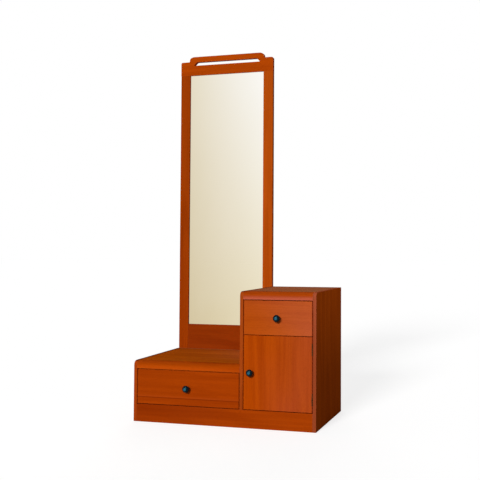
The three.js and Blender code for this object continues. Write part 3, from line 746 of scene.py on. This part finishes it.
def soft_front(name, node, finish, right_end):
    """A board with its front edges and corners rounded, and strips on its narrow faces."""
    low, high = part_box(node)
    bm = block(low, high)
    front = [e for e in bm.edges if all(abs(v.co.y - low.y) < 1e-6 for v in e.verts)]
    corners = [e for e in bm.edges if abs(e.verts[0].co.y - e.verts[1].co.y) > 1e-3]
    rounded(bm, front + corners, front_round, 5)
    for face in bm.faces:
        face.material_index = 2 if face.normal.x > 0.9 else 1 if abs(face.normal.y) < 0.3 else 0
    return piece(name, bm, finish, front_strip, right_end)


def beech(name, along, shift):
    """Solid beech, waxed: pale, with short darker flecks and a fine plane mark."""
    return film(name, along, shift, light=(0.56, 0.37, 0.2), dark=(0.42, 0.25, 0.12))


box_beech = beech("box_beech", "y", (3.9, 0.8, 7.4))
back_beech = beech("box_back_beech", "x", (6.1, 5.2, 2.7))
runner_beech = film("runner_beech", "y", (1.2, 6.6, 4.1), light=(0.45, 0.28, 0.14), dark=(0.33, 0.19, 0.09))
bottom_hardboard = hardboard("bottom_hardboard", (5.1, 0.6, 8.2), tone=1.25)
for name, right_end in (("low_drawer", front_strip), ("tall_drawer", right_strip)):
    node = f"{name}_front"
    placed(soft_front(f"{name}_face", node, front_colours[name], right_end), name, "front_wood", node)
    for side in ("left", "right"):
        node = f"{name}_{side}_side"
        placed(softer(f"{name}_{side}_wall", node, box_beech, width=0.0006), name, "drawer_wood", node)
        node = f"{name}_runner_{side}"
        strip = softer(f"{name}_strip_{side}", node, runner_beech, width=0.0003)
        placed(strip, "carcass", "runner_wood", node)
    node = f"{name}_back"
    placed(boarded(f"{name}_rear_wall", node, back_beech, soft=0.0008), name, "drawer_wood", node)
    node = f"{name}_bottom"
    placed(boarded(f"{name}_floor", node, bottom_hardboard, soft=0.0003), name, "hardboard", node)


# Door: a veneered board like the drawer fronts, with the grain upright. It closes the tall chest below its
# drawer, and swings on two hinges at its right edge.
door_face = soft_front("door_face", "door_panel", front_colours["door"], right_strip)
placed(door_face, "door", "front_wood", "door_panel")


# Knobs: turned in one piece, with a domed head on a waisted neck, and sprayed glossy black, with a blue-green
# highlight painted at the crown. Each has a stud at its back that goes into a blind hole in the front.
highlight_depth = 0.0014
knob_radius = 16.0
knob_length = 25.0
knob_profile = [  # radius and height in millimetres, and 1 where the curve runs on smoothly
    (0, 0, 0), (9.5, 0, 0), (6.9, 2.2, 1), (6.5, 5.0, 0), (6.6, 8.4, 1), (7.6, 11.6, 1), (10.2, 12.5, 1),
    (13.2, 12.6, 1), (15.3, 13.8, 1), (knob_radius, 16.0, 1), (15.3, 18.4, 1), (13.4, 20.5, 1),
    (10.9, 22.4, 1), (7.9, 23.8, 1), (4.2, 24.7, 1), (0, knob_length, 0),
]


def black_gloss(name, tip):
    """Black lacquer with a slight ripple, dulled a little by hands, and a blue-green highlight painted at the
    tip.
    """
    made = material(name)
    tree = made.node_tree
    handled = noise(tree, scaled(tree, 160), 4.0, 0.6)
    ripple = noise(tree, scaled(tree, 700), 2.0, 0.5)
    colour = mixed(tree, ranged(tree, handled, 0.35, 0.7), (0.002, 0.0028, 0.003), (0.005, 0.006, 0.006))
    # A painted highlight: blue-green close to the tip, fading out behind it.
    tip_highlight = ranged(tree, place_on(tree, "Y"), tip + 0.0001, tip + highlight_depth, 1.0, 0.0)
    colour = mixed(tree, tip_highlight, colour, (0.024, 0.12, 0.18))
    surface(tree, colour, ranged(tree, handled, 0.3, 0.7, 0.22, 0.27), ripple, 0.00002,
            Specular_IOR_Level=0.14, Specular_Tint=(0.22, 0.7, 1, 1))
    return made


def turned(name, profile, centre, finish, sides=48):
    """A solid turned on a lathe: (radius, height) in millimetres, its height forward from the centre."""
    bm = bmesh.new()
    turns = [(math.cos(a), math.sin(a)) for a in (2 * math.pi * k / sides for k in range(sides))]
    rings = []
    for radius, height in profile:
        y = centre[1] - height / 1000
        around = turns if radius else [(0, 0)]
        rings.append([bm.verts.new((centre[0] + radius / 1000 * u, y, centre[2] + radius / 1000 * v))
                      for u, v in around])
    for near, far in zip(rings, rings[1:]):
        for k in range(sides):
            after = k + 1
            ring = [near[k % len(near)], near[after % len(near)], far[after % len(far)], far[k % len(far)]]
            bm.faces.new(list(dict.fromkeys(ring)))
    return piece(name, bm, finish)


def rounded_profile(corners, steps=5):
    """The profile's points, with a smooth curve through each run of points marked 1."""
    points = [(r, h) for r, h, _ in corners]
    smooth = []
    for k in range(len(points) - 1):
        smooth.append(points[k])
        if corners[k][2] and corners[k + 1][2] and 0 < k < len(points) - 2:
            a, b, c, d = (Vector(p) for p in points[k - 1:k + 3])
            for t in (step / steps for step in range(1, steps)):
                bend = 0.5 * (2 * b + (c - a) * t + (2 * a - 5 * b + 4 * c - d) * t ** 2
                              + (3 * b - a - 3 * c + d) * t ** 3)
                smooth.append((min(bend.x, knob_radius), min(bend.y, knob_length)))
    smooth.append(points[-1])
    return smooth


knob_black = black_gloss("knob_lacquer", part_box("door_knob")[0].y)
knob_shape = rounded_profile(knob_profile)
for body in ("low_drawer", "tall_drawer", "door"):
    low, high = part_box(f"{body}_knob")
    centre = ((low.x + high.x) / 2, low.y + knob_length / 1000, (low.z + high.z) / 2)
    placed(turned(f"{body}_pull", knob_shape, centre, knob_black), body, "knob_black", f"{body}_knob")


# Hinges: two of brass-plated steel, gone brown, with five knuckles each on a rod. One leaf is screwed to the
# right panel and the other to the door's edge, with three screws each.
bare_face = 0.0003  # of either leaf, from the middle of the gap
screw_holes = ((-0.0165, 0.0105), (0.0, 0.0135), (0.0165, 0.0105))  # height and depth on the leaf
leaf_screw = {"Radius": 0.0021, "Height": 0.00016, "Cross": True}
hinge_bronze = brushed("hinge_bronze", (0.11, 0.04, 0.014), 0.42, shift=(2, 5, 1), wear=(0.3, 0.14, 0.05))
for place in ("upper", "lower"):
    for name, part, body, width in (
        ("side_leaf", "panel_leaf", "carcass", 0.0002), ("front_leaf", "door_leaf", "door", 0.0002),
        ("rod", "pin", "carcass", 0.0003),
    ):
        node = f"hinge_{part}_{place}"
        placed(softer(f"hinge_{name}_{place}", node, hinge_bronze, width=width), body, "hinge_bronze", node)

screw_brass = brushed("screw_brass", (0.36, 0.22, 0.1), 0.34, shift=(6, 2, 3), wear=(0.6, 0.42, 0.22))
for name, leaf, body, facing, face in (
    ("side", "panel", "carcass", "left", bare_face), ("front", "door", "door", "right", -bare_face),
):
    places = []
    for place in ("upper", "lower"):
        low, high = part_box(f"hinge_{leaf}_leaf_{place}")
        middle = (low.x + high.x) / 2
        places += [(middle + face, low.y + depth, (low.z + high.z) / 2 + rise) for rise, depth in screw_holes]
    row_of_heads(f"hinge_screws_{name}", places, facing, leaf_screw, screw_brass, body)


# Catch: a magnet between two steel lips in a brown plastic housing, fixed under the divider. Its steel
# plate is screwed to the back of the door with two small screws.
plate_screw = {"Radius": 0.0018, "Height": 0.00012, "Cross": True}
plate_inset = 0.006


def moulded(name, colour):
    """Plastic from a mould: a fine grain, faint clouds and edges rubbed pale."""
    made = material(name)
    tree = made.node_tree
    grain = noise(tree, scaled(tree, 1500), 3.0, 0.6)
    clouds = noise(tree, scaled(tree, 60), 3.0, 0.5)
    tint = mixed(tree, ranged(tree, clouds, 0.3, 0.7), colour, [c * 0.8 for c in colour])
    rubbed = [c * 1.7 + 0.02 for c in colour]
    tint = mixed(tree, partly(tree, wear_and_highlight_edge(tree, 0.0008), 0.4), tint, rubbed)
    surface(tree, tint, ranged(tree, clouds, 0.3, 0.7, 0.4, 0.52), grain, 0.00004, Specular_IOR_Level=0.45)
    return made


catch_brown = moulded("catch_brown", (0.13, 0.045, 0.018))
housing = softer("catch_housing", "door_catch", catch_brown, width=0.0012, segments=3)
placed(housing, "carcass", "catch_plastic", "door_catch")
placed(softer("catch_plate", "door_strike_plate", pin_steel), "door", "steel", "door_strike_plate")
low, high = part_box("door_strike_plate")
places = [(x, high.y, (low.z + high.z) / 2) for x in (low.x + plate_inset, high.x - plate_inset)]
row_of_heads("catch_plate_screws", places, "back", plate_screw, screw_brass, "door")


# Mirror frame: two uprights and a lower panel of veneered board behind the low chest, and across them the
# head, sawn from one board with a raised loop over a long slot. The head's edges are rounded with a cutter.
mirror_round = 0.003
shoulder_round = 0.009
loop_rise = 0.026
loop_bar = 0.028
loop_inset = 0.049
loop_slope = 0.03
loop_foot = 0.006
slot_height = 0.018
slot_inset = 0.022
slot_corner = 0.005
left_colour = veneer("mirror_left_veneer", "z", (10.2, 3.7, 5.8), (0.3, 0.037, 0.001), lift=0.25, blush=0.0)
right_colour = veneer("mirror_right_veneer", "z", (4.7, 9.3, 0.4), (0.42, 0.062, 0.003),
                      lift=0.25, blush=0.0)
head_colour = veneer("mirror_head_veneer", "x", (7.2, 1.4, 3.9), (0.4, 0.05, 0.001), lift=0.15, blush=0.0)
# The lower panel's tone is darkened with painted shade.
lower_colour = veneer("mirror_lower_veneer", "x", (3.4, 8.8, 6.5), (0.245, 0.029, 0.001))
for name, node, finish in (
    ("mirror_left_upright", "mirror_left_stile", left_colour),
    ("mirror_right_upright", "mirror_right_stile", right_colour),
    ("mirror_apron", "mirror_lower_panel", lower_colour),
):
    placed(softer(name, node, finish, width=0.0005), "carcass", "mirror_frame_wood", node)

low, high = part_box("mirror_head")
middle = (low.x + high.x) / 2
half = (high.x - low.x) / 2
shoulder = high.z - loop_rise
foot_half = half - loop_inset
right_half = [Vector((half, low.z - 4 * mirror_round)), Vector((half, shoulder - shoulder_round))]
right_half += bow(right_half[-1], (half, shoulder), (half - shoulder_round, shoulder), 12)[1:]
right_half.append(Vector((foot_half + loop_foot, shoulder)))
right_half += bow(right_half[-1], (foot_half, shoulder), (foot_half, shoulder + loop_foot), 12)[1:]
right_half += bow(right_half[-1], (foot_half, high.z), (foot_half - loop_slope, high.z), 20)[1:]
left_half = [Vector((-u, v)) for u, v in reversed(right_half)]
crest = prism([(middle + u, v) for u, v in right_half + left_half], "y", low.y, high.y)
slot_half = foot_half - slot_inset
slot_top = high.z - loop_bar
slot_foot = slot_top - slot_height
slot = prism(outline([
    (middle - slot_half, slot_foot, slot_corner),
    (middle + slot_half, slot_foot, slot_corner),
    (middle + slot_half - slot_height, slot_top, slot_corner),
    (middle - slot_half + slot_height, slot_top, slot_corner),
], 8), "y", low.y - beyond, high.y + beyond)
crest = cut(piece("crest", crest, head_colour), slot)
bm = bmesh.new()
bm.from_mesh(crest.data)
bpy.data.objects.remove(crest)
bmesh.ops.dissolve_limit(bm, angle_limit=math.radians(0.3), verts=bm.verts, edges=bm.edges)
rounded(bm, sharp_edges(bm, 60), mirror_round, 4)
rebate_low, rebate_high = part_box("mirror_bead_left")[0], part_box("mirror_bead_right")[1]
glass_low, glass_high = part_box("mirror_glass")
around = Vector((beyond, beyond, 0))
underside = block(low - around - Vector((0, 0, 5 * beyond)), Vector((*(high + around).xy, low.z)))
rebate = block(Vector((rebate_low.x, glass_low.y, low.z - beyond)),
               Vector((rebate_high.x, high.y + beyond, rebate_high.z)))
crest = cut(piece("mirror_crest", bm, head_colour), underside, rebate)
placed(crest, "carcass", "mirror_frame_wood", "mirror_head")


# Mirror glass: float glass silvered on the back. Its tint is a painted reflection of a warm room, warmer and
# darker towards the lower left. It lies in the frame's rebate and is held there by the beads.
silver = material("silvered_glass")
tree = silver.node_tree
rise = ranged(tree, place_on(tree, "Z"), glass_low.z, glass_high.z, kind="LINEAR")
across = ranged(tree, place_on(tree, "X"), glass_low.x, glass_high.x, kind="LINEAR")
cloud = noise(tree, scaled(tree, (3.1, 3.1, 2.2)), 3.0, 0.5, 0.5)
# The reflection is painted into the glass's colour: darker and warmer to the lower left, paler to the upper
# right.
left_reflection = mixed(tree, rise, (0.65, 0.55, 0.35), (0.78, 0.71, 0.55))
right_reflection = mixed(tree, rise, (0.8, 0.71, 0.49), (0.98, 0.97, 0.94))
tint = mixed(tree, across, left_reflection, right_reflection)
tint = mixed(tree, ranged(tree, cloud, 0.3, 0.7, 0, 0.12), tint, (0.86, 0.8, 0.68))
tint = mixed(tree, partly(tree, wear_and_highlight_edge(tree, 0.0015), 0.5), tint, (0.5, 0.6, 0.52))
waves = noise(tree, scaled(tree, (9, 9, 4)), 1.0, 0.5)
surface(tree, tint, ranged(tree, cloud, 0.3, 0.7, 0.015, 0.04), waves, 0.00002, Metallic=1.0)
pane = boarded("mirror_pane", "mirror_glass", silver, soft=0.0008)
placed(pane, "carcass", "mirror_glass", "mirror_glass")


# Behind the glass: a thin hardboard back and four beech beads, nailed into the rebate, that hold it in. Four
# long screws fix the frame to the back edges of the low chest.
bead_inset = 0.004
bead_nail = {"Radius": 0.0009, "Height": 0.00025, "Cross": False}
mirror_hardboard = hardboard("mirror_hardboard", (2.6, 7.1, 4.9), tone=0.72)
backing = boarded("mirror_backing", "mirror_back_board", mirror_hardboard, soft=0.0003)
placed(backing, "carcass", "hardboard", "mirror_back_board")
upright_beech = beech("bead_upright_beech", "z", (0.9, 4.2, 1.5))
level_beech = beech("bead_level_beech", "x", (8.8, 2.1, 5.4))
for name, finish in (
    ("left", upright_beech), ("right", upright_beech), ("top", level_beech), ("bottom", level_beech),
):
    node = f"mirror_bead_{name}"
    placed(boarded(f"mirror_slip_{name}", node, finish, soft=0.0009), "carcass", "runner_wood", node)
columns = [rebate_low.x + bead_inset, rebate_high.x - bead_inset]
rows = [rebate_low.z + bead_inset, rebate_high.z - bead_inset]
places = [(x, rebate_high.y, z) for x in columns for z in spread(rebate_low.z, rebate_high.z, 0.19, 0.04)]
places += [(x, rebate_high.y, z) for z in rows for x in spread(rebate_low.x, rebate_high.x, 0.15, 0.06)]
row_of_heads("bead_nails", places, "back", bead_nail, nail_steel, "carcass")
screw_steel = brushed("screw_steel", (0.5, 0.46, 0.38), 0.3, shift=(4, 1, 7))
for row in ("upper", "lower"):
    for side in ("left", "right"):
        node = f"mirror_screw_{row}_{side}"
        fixing = softer(f"mirror_fixing_{row}_{side}", node, screw_steel, width=0.0002)
        placed(fixing, "carcass", "steel", node)
